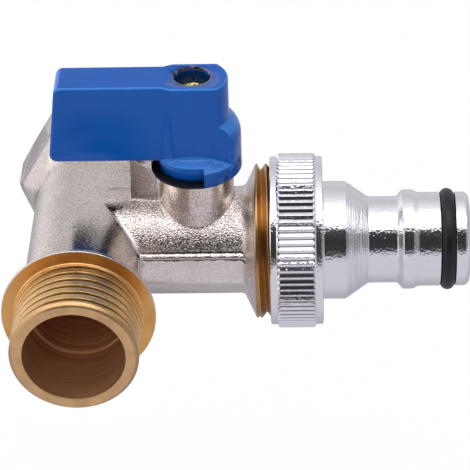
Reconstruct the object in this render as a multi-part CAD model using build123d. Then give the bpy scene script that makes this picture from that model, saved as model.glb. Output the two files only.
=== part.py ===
from build123d import *
import os
from math import atan, cos, degrees, pi, radians, sin, sqrt, tan

os.makedirs("parts", exist_ok=True)

# Axes: the inlet line runs along Y with its shoulder face at y = 0 and its mouth towards -Y,
# the outlet line runs along +X, and the stem stands along Z. All sizes are millimetres.

# Inlet thread and shoulder
inlet_thread_d = 20.955
inlet_thread_length = 11.5
inlet_thread_chamfer = 0.6
inlet_bore_d = 16.6
inlet_bore_depth = 12.5
inlet_chamber_d = 15.8
inlet_chamber_past_axis = 8.0
drill_point_angle = 118.0
shoulder_d = 25.4
shoulder_land = 0.7
shoulder_flare_length = 1.9
shoulder_flare_fillet = 2.2

# Inlet line and rear hex
outlet_setback = 21.7
inlet_body_d = 19.4
hex_across_flats = 23.0
hex_front_past_axis = 18.3
hex_length = 8.5
hex_taper_length = 7.0
hex_rear_chamfer = 0.8
hex_front_chamfer = 0.5

# Outlet barrel, round above and eight-sided below its parting line
barrel_d = 18.8
barrel_across_flats = 16.7
barrel_flat_drop = 2.9
barrel_bottom_flat = 7.0
barrel_rim_top = 3.4
barrel_rim_bottom = 2.1
barrel_rim_depth = 0.4
barrel_end = 26.6
crease_fillet = 1.5

# Outlet spigot
outlet_thread_d = 26.441
flare_rim_d = 26.3
flare_length = 2.3
flare_fillet = 1.2
runout_groove_d = 24.2
runout_groove_half = 0.9
spigot_end = 37.0
spigot_chamfer = 0.9

# Ball, seats and retainer
stem_offset = 19.0
ball_d = 13.0
port_d = 8.0
seat_port_d = 8.6
seat_ball_gap = 0.04
seat_half_span = 7.0
seat_inner_face = 2.8
seat_cavity_d = 13.6
seat_clearance = 0.05
retainer_bore_d = 16.0
retainer_shoulder = 27.9
retainer_length = 5.0
retainer_port_d = 9.0
retainer_clearance = 0.03
retainer_slot_width = 2.0
retainer_slot_depth = 1.6

# Stem and its seals
stem_d = 6.4
stem_bore_clearance = 0.05
stem_collar_d = 8.4
stem_collar_height = 1.6
collar_pocket_clearance = 0.2
collar_above_ball = 0.3
thrust_washer_thickness = 0.6
tang_thickness = 2.4
tang_length = 5.0
slot_clearance = 0.05
slot_floor_above_axis = 4.7
tang_tip_gap = 0.1
stem_o_ring_section = 1.3
stem_groove_width = 1.7
stem_lower_groove = 1.8
stem_upper_groove = 4.4
drive_across_flats = 4.8
drive_clearance = 0.05

# Stem boss, dust ring and stop lug
boss_d = 12.7
boss_top = 15.15
dust_ring_d = 14.6
dust_ring_thickness = 0.35
lug_thickness = 2.9
lug_outer_reach = 10.95
lug_relief_clearance = 0.1
lug_under_arm_gap = 0.5
tower_fillet = 0.5
lug_fillet = 0.7
stop_clearance = 0.25

# Handle
arm_reach = 24.1
arm_thickness = 7.3
arm_underside = 18.35
handle_top = 32.45
arm_end_draft = 6.5
arm_end_radius = 1.3
head_thickness = 8.7
head_d = 11.8
head_step = 3.4
head_step_run = 1.6
handle_edge_fillet = 0.5
hub_d = 15.6
hub_shoulder = 25.8
hub_shoulder_radius = 4.0
hub_rim_fillet = 0.4
hub_over_ring = 0.05
foot_centre_top = 19.7
foot_rim_top = 18.15
core_foot_d = 11.6
core_rim_d = 13.6
screw_well_d = 6.2
screw_well_depth = 5.3
screw_web = 0.9

# Handle screw
screw_head_d = 5.7
screw_head_height = 2.3
screw_d = 3.0
screw_length = 9.0
screw_hole_clearance = 0.15
screw_thread_clearance = 0.02
screw_tip_gap = 0.5
screw_head_fillet = 0.8
screw_slot_width = 0.9
screw_slot_length = 3.4
screw_slot_depth = 1.1

# Hose adapter
adapter_start = 31.3
collar_length = 8.9
collar_rim_d = 28.6
collar_rim_length = 1.35
collar_edge_chamfer = 0.5
knurl_d = 29.66
knurl_depth = 0.32
knurl_teeth = 80
knurl_end_angle = 40.0
adapter_thread_clearance = 0.1
gasket_thickness = 2.0
gasket_bore_d = 12.0
gasket_edge_clearance = 0.25
nose_bore_d = 10.0
nose_base_d = 20.05
nose_base_length = 3.9
nose_cone_length = 3.8
nose_neck_d = 14.7
nose_neck_length = 4.9
ridge_d = 16.9
ridge_rise_length = 0.9
ridge_length = 1.7
ridge_fall_length = 1.0
nose_d = 15.95
nose_land_length = 3.6
nose_tip_length = 2.4
nose_tip_radius = 1.1
nose_o_ring_section = 2.5
nose_o_ring_d = 17.25
nose_groove_width = 2.55

# Shared places worked out from the sizes above
outlet_axis_at = (0, outlet_setback, 0)
stem_at = (stem_offset, outlet_setback, 0)
hex_front = outlet_setback + hex_front_past_axis
hex_rear = hex_front + hex_length
barrel_radius = barrel_d / 2
flare_rim = barrel_end + flare_length
collar_pocket_d = stem_collar_d + 2 * collar_pocket_clearance
collar_bottom = ball_d / 2 + collar_above_ball
collar_top = collar_bottom + stem_collar_height
stem_seat = collar_top + thrust_washer_thickness
stem_bore_d = stem_d + 2 * stem_bore_clearance
dust_ring_top = boss_top + dust_ring_thickness
hub_underside = dust_ring_top + hub_over_ring
screw_seat = handle_top - screw_well_depth
drive_top = screw_seat - screw_web
collar_end = adapter_start + collar_length
gasket_end = spigot_end + gasket_thickness


def turned(points, axis):
    """Solid of revolution of a closed outline about one of its own plane's axes."""
    return revolve(make_face(Polyline(*points, close=True)), axis=axis)


def turned_on_inlet(points):
    """Solid turned about the inlet line, from (radius, y) points."""
    return turned([(radius, y, 0) for radius, y in points], Axis.Y)


def turned_on_outlet(points):
    """Solid turned about the outlet line, from (x, radius) points."""
    outline = [(x, outlet_setback + radius, 0) for x, radius in points]
    return turned(outline, Axis(outlet_axis_at, (1, 0, 0)))


def turned_on_stem(points):
    """Solid turned about the stem, from (radius, z) points."""
    outline = [(stem_offset + radius, outlet_setback, z) for radius, z in points]
    return turned(outline, Axis(stem_at, (0, 0, 1)))


def disc_on_stem(diameter, bottom, top):
    """Plain cylinder about the stem between two heights."""
    return Pos(*stem_at) * Pos(0, 0, bottom) * extrude(Circle(diameter / 2), top - bottom)


def rod_on_outlet(diameter, start, end):
    """Plain cylinder about the outlet line between two places along it."""
    plane = Plane(origin=(start, outlet_setback, 0), x_dir=(0, 1, 0), z_dir=(1, 0, 0))
    return extrude(plane * Circle(diameter / 2), end - start)


# Valve body: the inlet line with its threaded end, shoulder and rear hex
thread_radius = inlet_thread_d / 2
body_radius = inlet_body_d / 2
flare_back = shoulder_land + shoulder_flare_length
inlet_line = turned_on_inlet(
    [
        (0, -inlet_thread_length),
        (thread_radius - inlet_thread_chamfer, -inlet_thread_length),
        (thread_radius, inlet_thread_chamfer - inlet_thread_length),
        (thread_radius, 0),
        (shoulder_d / 2, 0),
        (shoulder_d / 2, shoulder_land),
        (body_radius, flare_back),
        (body_radius, hex_front),
        (0, hex_front),
    ]
)
flare_root = inlet_line.edges().filter_by(GeomType.CIRCLE).filter_by_position(
    Axis.Y, flare_back - 0.01, flare_back + 0.01
)
inlet_line = fillet(flare_root, shoulder_flare_fillet)

hex_outline = RegularPolygon(hex_across_flats / 2, 6, major_radius=False)
hex_corner = hex_across_flats / 2 / cos(pi / 6)
taper_angle = degrees(atan((hex_across_flats / 2 - body_radius) / hex_taper_length))
hex_rear_plane = Plane(origin=(0, hex_front, 0), x_dir=(1, 0, 0), z_dir=(0, 1, 0))
hex_front_plane = Plane(origin=(0, hex_front, 0), x_dir=(1, 0, 0), z_dir=(0, -1, 0))
hex_end = extrude(hex_rear_plane * hex_outline, hex_length)
hex_end += extrude(hex_front_plane * hex_outline, hex_taper_length, taper=taper_angle)
hex_turning = turned_on_inlet(
    [
        (0, hex_front - hex_taper_length),
        (body_radius, hex_front - hex_taper_length),
        (hex_corner - hex_front_chamfer, hex_front),
        (hex_corner, hex_front + 2 * hex_front_chamfer),
        (hex_corner, hex_rear - hex_rear_chamfer),
        (hex_corner - 2 * hex_rear_chamfer, hex_rear),
        (0, hex_rear),
    ]
)
hex_end = hex_end & hex_turning

# Valve body: the outlet barrel from its forged outline
flat_half = barrel_across_flats / 2
rim_half = sqrt(barrel_radius**2 - barrel_rim_top**2)
bottom_half = barrel_bottom_flat / 2
barrel_lines = [
    Line((rim_half, barrel_rim_top), (rim_half, barrel_rim_bottom)),
    Line((rim_half, barrel_rim_bottom), (flat_half, barrel_rim_bottom - barrel_rim_depth)),
    Line((flat_half, barrel_rim_bottom - barrel_rim_depth), (flat_half, -barrel_flat_drop)),
    Line((flat_half, -barrel_flat_drop), (bottom_half, -flat_half)),
    Line((bottom_half, -flat_half), (-bottom_half, -flat_half)),
    Line((-bottom_half, -flat_half), (-flat_half, -barrel_flat_drop)),
    Line((-flat_half, -barrel_flat_drop), (-flat_half, barrel_rim_bottom - barrel_rim_depth)),
    Line((-flat_half, barrel_rim_bottom - barrel_rim_depth), (-rim_half, barrel_rim_bottom)),
    Line((-rim_half, barrel_rim_bottom), (-rim_half, barrel_rim_top)),
    ThreePointArc((-rim_half, barrel_rim_top), (0, barrel_radius), (rim_half, barrel_rim_top)),
]
barrel_plane = Plane(origin=outlet_axis_at, x_dir=(0, 1, 0), z_dir=(1, 0, 0))
barrel = extrude(barrel_plane * make_face(barrel_lines), flare_rim)

# Valve body: the flared outlet spigot, the stem boss and the stop lug
spigot_radius = outlet_thread_d / 2
flare_rise = (flare_rim_d / 2 - flat_half) / flare_length
spigot = turned_on_outlet(
    [
        (barrel_end - flat_half / flare_rise, 0),
        (flare_rim, flare_rim_d / 2),
        (flare_rim + runout_groove_half, runout_groove_d / 2),
        (flare_rim + 2 * runout_groove_half, spigot_radius),
        (spigot_end - spigot_chamfer, spigot_radius),
        (spigot_end, spigot_radius - spigot_chamfer),
        (spigot_end, 0),
    ]
)
boss = disc_on_stem(boss_d, 0, boss_top)
lug_top = arm_underside - lug_under_arm_gap
lug_plan = Pos(-lug_outer_reach / 2, 0) * Rectangle(lug_outer_reach, lug_thickness)
lug = Pos(*stem_at) * extrude(lug_plan, lug_top)
lug -= disc_on_stem(dust_ring_d + 2 * lug_relief_clearance, boss_top, lug_top)

# The forging is blended where the lines meet: the crease, the flare and the foot of the boss
tee = inlet_line + barrel
tee = fillet(new_edges(inlet_line, barrel, combined=tee).filter_by(GeomType.BSPLINE), crease_fillet)
forging = tee + spigot
flare_joint = new_edges(tee, spigot, combined=forging)
forging = fillet(flare_joint, flare_fillet)
tower = boss + lug
tower = fillet(new_edges(boss, lug, combined=tower).filter_by(Axis.Z), lug_fillet)
forging_with_tower = forging + tower
foot = new_edges(forging, tower, combined=forging_with_tower)
forging = fillet(foot, tower_fillet) + hex_end

# The body's bores: inlet with its drilled chamber, seat cavity, retainer bore and stem bore
chamber_end = outlet_setback + inlet_chamber_past_axis
drill_point = inlet_chamber_d / 2 / tan(radians(drill_point_angle / 2))
inlet_bore = turned_on_inlet(
    [
        (0, -inlet_thread_length),
        (inlet_bore_d / 2, -inlet_thread_length),
        (inlet_bore_d / 2, inlet_bore_depth - inlet_thread_length),
        (inlet_chamber_d / 2, inlet_bore_depth - inlet_thread_length),
        (inlet_chamber_d / 2, chamber_end),
        (0, chamber_end + drill_point),
    ]
)
seat_start = stem_offset - seat_half_span
seat_end = stem_offset + seat_half_span
valve_body = forging - inlet_bore
valve_body -= rod_on_outlet(seat_port_d, 0, seat_start)
valve_body -= rod_on_outlet(seat_cavity_d, seat_start, retainer_shoulder)
valve_body -= rod_on_outlet(retainer_bore_d, retainer_shoulder, spigot_end)
valve_body -= disc_on_stem(collar_pocket_d, 0, stem_seat)
valve_body -= disc_on_stem(stem_bore_d, stem_seat, boss_top)

# Ball with its port and the drive slot across its top
slot_depth = ball_d / 2 - slot_floor_above_axis
slot = Pos(0, 0, slot_floor_above_axis + slot_depth / 2) * Box(
    tang_thickness + 2 * slot_clearance, ball_d, slot_depth
)
ball = Pos(*stem_at) * (Sphere(ball_d / 2) - slot)
ball -= rod_on_outlet(port_d, stem_offset - ball_d, stem_offset + ball_d)

# Seat rings, dished to the ball on both sides
seat_outer = seat_cavity_d / 2 - seat_clearance
seat_dish = Pos(*stem_at) * Sphere(ball_d / 2 + seat_ball_gap)
inlet_seat = turned_on_outlet(
    [
        (seat_start, seat_port_d / 2),
        (seat_start, seat_outer),
        (stem_offset - seat_inner_face, seat_outer),
        (stem_offset - seat_inner_face, seat_port_d / 2),
    ]
)
inlet_seat -= seat_dish
outlet_seat = mirror(inlet_seat, Plane(origin=stem_at, z_dir=(1, 0, 0)))

# Retainer ring screwed in behind the outlet seat, slotted across its face for a driver
retainer_end = retainer_shoulder + retainer_length
seat_retainer = turned_on_outlet(
    [
        (seat_end, retainer_port_d / 2),
        (seat_end, seat_cavity_d / 2 - retainer_clearance),
        (retainer_shoulder, seat_cavity_d / 2 - retainer_clearance),
        (retainer_shoulder, retainer_bore_d / 2 - retainer_clearance),
        (retainer_end, retainer_bore_d / 2 - retainer_clearance),
        (retainer_end, retainer_port_d / 2),
    ]
)
seat_retainer -= Pos(retainer_end - retainer_slot_depth / 2, outlet_setback, 0) * Box(
    retainer_slot_depth, retainer_bore_d, retainer_slot_width
)

# Stem: tang, blow-out collar, grooved shaft and double-D drive, tapped for the handle screw
tang_bottom = slot_floor_above_axis + tang_tip_gap
tang_height = collar_bottom - tang_bottom
tang = Pos(0, 0, tang_bottom + tang_height / 2) * Box(tang_thickness, tang_length, tang_height)
shaft_radius = stem_d / 2
groove_radius = shaft_radius - stem_o_ring_section
groove_half = stem_groove_width / 2
lower_groove = stem_seat + stem_lower_groove
upper_groove = stem_seat + stem_upper_groove
stem = turned_on_stem(
    [
        (0, collar_bottom),
        (stem_collar_d / 2, collar_bottom),
        (stem_collar_d / 2, collar_top),
        (shaft_radius, collar_top),
        (shaft_radius, lower_groove - groove_half),
        (groove_radius, lower_groove - groove_half),
        (groove_radius, lower_groove + groove_half),
        (shaft_radius, lower_groove + groove_half),
        (shaft_radius, upper_groove - groove_half),
        (groove_radius, upper_groove - groove_half),
        (groove_radius, upper_groove + groove_half),
        (shaft_radius, upper_groove + groove_half),
        (shaft_radius, drive_top),
        (0, drive_top),
    ]
)
stem += Pos(*stem_at) * tang
drive_height = drive_top - hub_underside
drive_flat_depth = shaft_radius - drive_across_flats / 2
for side in (-1, 1):
    flat_middle = side * (drive_across_flats + drive_flat_depth) / 2
    stem -= Pos(*stem_at) * Pos(0, flat_middle, hub_underside + drive_height / 2) * Box(
        stem_d, drive_flat_depth, drive_height
    )
screw_tip = screw_seat - screw_length
stem -= disc_on_stem(screw_d + 2 * screw_thread_clearance, screw_tip - screw_tip_gap, drive_top)


def ring_on_stem(section, inner_radius, height):
    """O-ring about the stem, resting on a groove floor."""
    place = Pos(*stem_at) * Pos(0, 0, height)
    return place * Torus(inner_radius + section / 2, section / 2)


stem_o_ring_lower = ring_on_stem(stem_o_ring_section, groove_radius, lower_groove)
stem_o_ring_upper = ring_on_stem(stem_o_ring_section, groove_radius, upper_groove)

# Flat rings about the stem: the thrust washer over the collar and the dust ring on the boss
stem_thrust_washer = disc_on_stem(stem_collar_d, collar_top, stem_seat)
stem_thrust_washer -= disc_on_stem(stem_bore_d, collar_top, stem_seat)
stem_dust_ring = disc_on_stem(dust_ring_d, boss_top, dust_ring_top)
stem_dust_ring -= disc_on_stem(stem_bore_d, boss_top, dust_ring_top)

# Handle: the lever's plan, thicker and round-ended at the head
arm_half = arm_thickness / 2
head_half = head_thickness / 2
head_radius = head_d / 2
head_chord = sqrt(head_radius**2 - head_half**2)
step_end = -head_step - head_step_run
lever_plan = make_face(
    [
        Line((-arm_reach, -arm_half), (step_end, -arm_half)),
        Line((step_end, -arm_half), (-head_step, -head_half)),
        Line((-head_step, -head_half), (head_chord, -head_half)),
        ThreePointArc((head_chord, -head_half), (head_radius, 0), (head_chord, head_half)),
        Line((head_chord, head_half), (-head_step, head_half)),
        Line((-head_step, head_half), (step_end, arm_half)),
        Line((step_end, arm_half), (-arm_reach, arm_half)),
        Line((-arm_reach, arm_half), (-arm_reach, -arm_half)),
    ]
)
lever_height = handle_top - arm_underside
draft_run = lever_height * tan(radians(arm_end_draft))
lever_side = make_face(
    Polyline(
        (-arm_reach, arm_underside),
        (draft_run - arm_reach, handle_top),
        (head_d, handle_top),
        (head_d, arm_underside),
        close=True,
    )
)
lever_side = fillet(lever_side.vertices().sort_by(Axis.X)[:2], arm_end_radius)
lever = extrude(Plane.XZ * lever_side, head_thickness, both=True)
lever = lever & Pos(0, 0, arm_underside) * extrude(lever_plan, lever_height)
lever = fillet(lever.faces().sort_by(Axis.Z)[-1].edges(), handle_edge_fillet)

# Handle: the domed hub, round and coned at its foot and cut flush with the head above
hub_radius = hub_d / 2
hub = extrude(Circle(hub_radius), hub_shoulder - hub_underside)
hub = fillet(hub.edges().group_by(Axis.Z)[-1], hub_shoulder_radius)
hub_slab = Pos((hub_radius - head_step) / 2, 0, 0) * Box(
    hub_radius + head_step, head_thickness, 2 * hub_shoulder
)
foot_slope = (foot_centre_top - foot_rim_top) / (hub_radius - head_half)
foot_apex = foot_centre_top + head_half * foot_slope
foot_cone = turned(
    [(0, 0, hub_underside), ((foot_apex - hub_underside) / foot_slope, 0, hub_underside), (0, 0, foot_apex)],
    Axis.Z,
)
hub = Pos(0, 0, hub_underside) * hub & (hub_slab + foot_cone)

# Handle: the quarter of the foot that is cut away down to its core, to turn past the stop lug
core_rim_top = foot_centre_top - foot_slope * (core_rim_d / 2 - head_half)
core_flare = (core_rim_d - core_foot_d) / 2 / (core_rim_top - hub_underside)
core_top = core_foot_d / 2 + core_flare * (foot_apex - hub_underside)
core = turned(
    [
        (0, 0, hub_underside),
        (core_foot_d / 2, 0, hub_underside),
        (core_top, 0, foot_apex),
        (0, 0, foot_apex),
    ],
    Axis.Z,
)
notch_edge = lug_thickness / 2 + stop_clearance
notch_middle = notch_edge - hub_d / 2
notch_height = foot_apex - hub_underside
notch = Pos(notch_middle, notch_middle, hub_underside + notch_height / 2) * Box(hub_d, hub_d, notch_height)
hub = hub - (notch - core)
hub_rim = hub.edges().filter_by(GeomType.CIRCLE).filter_by_position(
    Axis.Z, foot_rim_top - 0.01, foot_rim_top + 0.01
)
handle = lever + fillet(hub_rim, hub_rim_fillet)
drive_hole = Circle(shaft_radius + drive_clearance) & Rectangle(
    2 * stem_d, drive_across_flats + 2 * drive_clearance
)
handle -= Pos(0, 0, hub_underside) * extrude(drive_hole, drive_height)
handle -= Pos(0, 0, drive_top) * extrude(Circle(screw_d / 2 + screw_hole_clearance), screw_web)
handle -= Pos(0, 0, screw_seat) * extrude(Circle(screw_well_d / 2), screw_well_depth)
handle = Pos(*stem_at) * handle

# Handle screw: cross-slotted pan head on a plain shank
screw_top = screw_seat + screw_head_height
handle_screw = disc_on_stem(screw_head_d, screw_seat, screw_top)
handle_screw = fillet(handle_screw.edges().group_by(Axis.Z)[-1], screw_head_fillet)
handle_screw += disc_on_stem(screw_d, screw_tip, screw_seat)
cross_slot = Box(screw_slot_length, screw_slot_width, screw_slot_depth)
cross_slot += Box(screw_slot_width, screw_slot_length, screw_slot_depth)
handle_screw -= Pos(*stem_at) * Pos(0, 0, screw_top - screw_slot_depth / 2) * cross_slot

# Hose adapter: the turned blank from collar to nose tip
rim_radius = collar_rim_d / 2
base_end = collar_end + nose_base_length
cone_end = base_end + nose_cone_length
neck_end = cone_end + nose_neck_length
ridge_start = neck_end + ridge_rise_length
ridge_end = ridge_start + ridge_length
land_start = ridge_end + ridge_fall_length
groove_start = land_start + nose_land_length
groove_end = groove_start + nose_groove_width
nose_tip = groove_end + nose_tip_length
nose_radius = nose_d / 2
nose_groove_radius = nose_o_ring_d / 2 - nose_o_ring_section
blank = turned_on_outlet(
    [
        (adapter_start, 0),
        (adapter_start, rim_radius - collar_edge_chamfer),
        (adapter_start + collar_edge_chamfer, rim_radius),
        (collar_end - collar_edge_chamfer, rim_radius),
        (collar_end, rim_radius - collar_edge_chamfer),
        (collar_end, nose_base_d / 2),
        (base_end, nose_base_d / 2),
        (cone_end, nose_neck_d / 2),
        (neck_end, nose_neck_d / 2),
        (ridge_start, ridge_d / 2),
        (ridge_end, ridge_d / 2),
        (land_start, nose_radius),
        (groove_start, nose_radius),
        (groove_start, nose_groove_radius),
        (groove_end, nose_groove_radius),
        (groove_end, nose_radius),
        (nose_tip, nose_radius),
        (nose_tip, 0),
    ]
)
blank = fillet(blank.edges().group_by(Axis.X)[-1], nose_tip_radius)

# Hose adapter: the straight knurl, a toothed band with its ends turned to a point
knurl_tip = knurl_d / 2
knurl_root = knurl_tip - knurl_depth
tooth_angle = 2 * pi / knurl_teeth
knurl_points = []
for tooth in range(knurl_teeth):
    for radius, share in [(knurl_root, 0.0), (knurl_tip, 0.5)]:
        angle = (tooth + share) * tooth_angle
        knurl_points.append((radius * cos(angle), radius * sin(angle)))
knurl_start = adapter_start + collar_rim_length
knurl_end = collar_end - collar_rim_length
knurl_plane = Plane(origin=(knurl_start, outlet_setback, 0), x_dir=(0, 1, 0), z_dir=(1, 0, 0))
knurl_face = make_face(Polyline(*knurl_points, close=True))
knurl = extrude(knurl_plane * knurl_face, knurl_end - knurl_start)
point_run = (knurl_tip - rim_radius) * tan(radians(knurl_end_angle))
knurl = knurl & turned_on_outlet(
    [
        (knurl_start, 0),
        (knurl_start, rim_radius),
        (knurl_start + point_run, knurl_tip),
        (knurl_end - point_run, knurl_tip),
        (knurl_end, rim_radius),
        (knurl_end, 0),
    ]
)
hose_adapter = blank + knurl
adapter_thread_bore = outlet_thread_d + 2 * adapter_thread_clearance
hose_adapter -= rod_on_outlet(adapter_thread_bore, adapter_start, gasket_end)
hose_adapter -= rod_on_outlet(nose_bore_d, gasket_end, nose_tip)

# Adapter gasket against the spigot's end, and the O-ring in the nose groove
adapter_gasket = rod_on_outlet(
    adapter_thread_bore - 2 * gasket_edge_clearance, spigot_end, gasket_end
)
adapter_gasket -= rod_on_outlet(gasket_bore_d, spigot_end, gasket_end)
ring_radius = nose_groove_radius + nose_o_ring_section / 2
ring_middle = (groove_start + groove_end) / 2
nose_o_ring = Pos(ring_middle, outlet_setback, 0) * Rot(0, 90, 0) * Torus(
    ring_radius, nose_o_ring_section / 2
)

pieces = {
    "valve_body": valve_body,
    "ball": ball,
    "inlet_seat": inlet_seat,
    "outlet_seat": outlet_seat,
    "seat_retainer": seat_retainer,
    "stem": stem,
    "stem_thrust_washer": stem_thrust_washer,
    "stem_o_ring_lower": stem_o_ring_lower,
    "stem_o_ring_upper": stem_o_ring_upper,
    "stem_dust_ring": stem_dust_ring,
    "handle": handle,
    "handle_screw": handle_screw,
    "hose_adapter": hose_adapter,
    "adapter_gasket": adapter_gasket,
    "nose_o_ring": nose_o_ring,
}
for name, piece in pieces.items():
    export_step(piece, f"parts/{name}.step")
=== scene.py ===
import math

import bmesh
import bpy
from mathutils import Matrix, Vector


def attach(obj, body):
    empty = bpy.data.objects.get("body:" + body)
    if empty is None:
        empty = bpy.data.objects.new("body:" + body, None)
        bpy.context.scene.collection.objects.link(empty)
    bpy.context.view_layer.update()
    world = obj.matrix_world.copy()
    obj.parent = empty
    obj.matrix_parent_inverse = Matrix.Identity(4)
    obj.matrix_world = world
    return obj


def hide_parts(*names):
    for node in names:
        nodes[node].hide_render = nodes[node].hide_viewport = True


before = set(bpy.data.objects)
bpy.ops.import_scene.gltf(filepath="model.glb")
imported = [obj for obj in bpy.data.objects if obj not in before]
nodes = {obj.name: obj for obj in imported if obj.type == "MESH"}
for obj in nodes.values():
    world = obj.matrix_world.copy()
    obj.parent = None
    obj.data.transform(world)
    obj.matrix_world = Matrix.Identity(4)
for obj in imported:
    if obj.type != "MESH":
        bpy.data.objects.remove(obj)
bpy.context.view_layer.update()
mm = 0.001

# Valve body
# One hot-forged brass piece: inlet line, rear hex, outlet barrel, stem boss and stop lug.
# The forging is shot-blasted and nickel plated; both pipe ends are turned and threaded
# afterwards, so the brass shows bare on the threads, on the shoulder face and in the bore.
outlet_at = 21.7 * mm
stem_at = Vector((19.0 * mm, outlet_at, 0))
line_radius = 9.7 * mm
barrel_radius = 9.4 * mm
inlet_radius = 10.4775
inlet_length = 11.50
chamfer_from = 10.90
bore_step = 1.0
inlet_cut = 1.4 * mm
spigot_cut = 27.9 * mm
weld_gap = 0.002 * mm


def placed(name, data):
    """A new object with the data, linked into the scene."""
    piece = bpy.data.objects.new(name, data)
    bpy.context.scene.collection.objects.link(piece)
    return piece


def merged_copy(node, name):
    """A new object with the node's own mesh, its loose triangles joined up."""
    mesh = nodes[node].data.copy()
    mesh.materials.clear()
    shape = bmesh.new()
    shape.from_mesh(mesh)
    bmesh.ops.remove_doubles(shape, verts=shape.verts, dist=weld_gap)
    shape.to_mesh(mesh)
    shape.free()
    return placed(name, mesh)


def settled(piece):
    """The piece with its modifiers made into one plain mesh."""
    graph = bpy.context.evaluated_depsgraph_get()
    mesh = bpy.data.meshes.new_from_object(piece.evaluated_get(graph))
    piece.modifiers.clear()
    old = piece.data
    piece.data = mesh
    bpy.data.meshes.remove(old)
    mesh.name = piece.name
    return piece


def shaded(piece, degrees):
    """Smooth shading led by the large faces, broken only at edges sharper than the angle."""
    for face in piece.data.polygons:
        face.use_smooth = True
    piece.data.set_sharp_from_angle(angle=math.radians(degrees))
    lead = piece.modifiers.new("lead", "WEIGHTED_NORMAL")
    lead.keep_sharp = True
    return settled(piece)


def cut_back(piece, point, outward):
    """Takes off everything beyond a plane and closes the cut."""
    shape = bmesh.new()
    shape.from_mesh(piece.data)
    every = shape.verts[:] + shape.edges[:] + shape.faces[:]
    bmesh.ops.bisect_plane(shape, geom=every, plane_co=point, plane_no=outward, clear_outer=True)
    rim = [edge for edge in shape.edges if edge.is_boundary]
    bmesh.ops.triangle_fill(shape, edges=rim, use_beauty=True, use_dissolve=False, normal=outward)
    shape.to_mesh(piece.data)
    shape.free()


def bridged(shape, ring, beyond, kind=0):
    """Smooth faces from one ring of points to the next."""
    for step, corner in enumerate(ring):
        turn = (step + 1) % len(ring)
        face = shape.faces.new((corner, ring[turn], beyond[turn], beyond[step]))
        face.material_index = kind
        face.smooth = True


def turning(name, outline, materials, steps=160):
    """A closed ring turned about X from (x, radius, material) points in millimetres."""
    shape = bmesh.new()
    rings = []
    for along, radius, kind in outline:
        ring = []
        for step in range(steps):
            angle = 2 * math.pi * step / steps
            at = (along * mm, radius * mm * math.cos(angle), radius * mm * math.sin(angle))
            ring.append(shape.verts.new(at))
        rings.append(ring)
    for row, ring in enumerate(rings):
        bridged(shape, ring, rings[(row + 1) % len(rings)], outline[row][2])
    bmesh.ops.recalc_face_normals(shape, faces=shape.faces)
    mesh = bpy.data.meshes.new(name)
    shape.to_mesh(mesh)
    shape.free()
    for material in materials:
        mesh.materials.append(material)
    return placed(name, mesh)


def finish(name):
    """A new node material: its tree, its shader and the piece's own coordinates."""
    material = bpy.data.materials.new(name)
    material.use_nodes = True
    tree = material.node_tree
    shader = tree.nodes["Principled BSDF"]
    place = tree.nodes.new("ShaderNodeTexCoord").outputs["Object"]
    return material, tree, shader, place


def feed(tree, socket, source):
    """Links a socket to another node's output, or sets it to a plain value."""
    if hasattr(source, "is_linked"):
        tree.links.new(source, socket)
    else:
        socket.default_value = source


def joined(tree, kind, links=(), **values):
    """A node of a kind, its properties set by name and its sockets linked or filled in order."""
    node = tree.nodes.new(kind)
    for key, value in values.items():
        setattr(node, key, value)
    for socket, source in links:
        feed(tree, node.inputs[socket], source)
    return node


def grain(tree, place, scale, detail=2.0, rough=0.5):
    """Plain noise over the piece, scale in features per metre."""
    settings = [("Scale", scale), ("Detail", detail), ("Roughness", rough)]
    return joined(tree, "ShaderNodeTexNoise", [("Vector", place)] + settings).outputs["Fac"]


def drawn_grain(tree, place, scales, detail=1.0, rough=0.5):
    """Noise drawn out into lines, with its scale along X, Y and Z in features per metre."""
    stretched = joined(tree, "ShaderNodeMapping", [("Vector", place), ("Scale", scales)])
    return grain(tree, stretched.outputs["Vector"], 1.0, detail, rough)


def cells(tree, place, scale):
    """Distance to the nearest of many scattered points, for pits and nicks."""
    return joined(tree, "ShaderNodeTexVoronoi", [("Vector", place), ("Scale", scale)]).outputs["Distance"]


def spread(tree, source, low, high, to_low, to_high):
    """Maps a value from one range to another, held at both ends."""
    limits = [("From Min", low), ("From Max", high), ("To Min", to_low), ("To Max", to_high)]
    return joined(tree, "ShaderNodeMapRange", [("Value", source)] + limits).outputs["Result"]


def sums(tree, operation, first, second):
    """One arithmetic step between two values."""
    return joined(tree, "ShaderNodeMath", [(0, first), (1, second)], operation=operation).outputs[0]


def band(tree, source, rise, fall):
    """A mask that comes in over the rise, a pair of the source's values, and goes over the fall."""
    return sums(tree, "MULTIPLY", spread(tree, source, *rise, 0, 1), spread(tree, source, *fall, 1, 0))


def apart(tree, first, second):
    """How far two values are from each other."""
    return sums(tree, "ABSOLUTE", sums(tree, "SUBTRACT", first, second), 0.0)


def from_centre(tree, first, second):
    """The distance from an axis, by the two coordinates across it."""
    squares = sums(tree, "ADD", sums(tree, "POWER", first, 2.0), sums(tree, "POWER", second, 2.0))
    return sums(tree, "SQRT", squares, 0.0)


def blend(tree, factor, low, high):
    """A colour between two, by a factor."""
    node = joined(tree, "ShaderNodeMix", [(0, factor)], data_type="RGBA")
    for socket, colour in ((6, low), (7, high)):
        feed(tree, node.inputs[socket], colour if hasattr(colour, "is_linked") else (*colour, 1))
    return node.outputs[2]


def surface(tree, shader, colour, roughness, metallic=0.0):
    """Gives the shader its colour, its roughness and its share of metal."""
    feed(tree, shader.inputs["Base Color"], colour)
    feed(tree, shader.inputs["Roughness"], roughness)
    feed(tree, shader.inputs["Metallic"], metallic)


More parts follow.
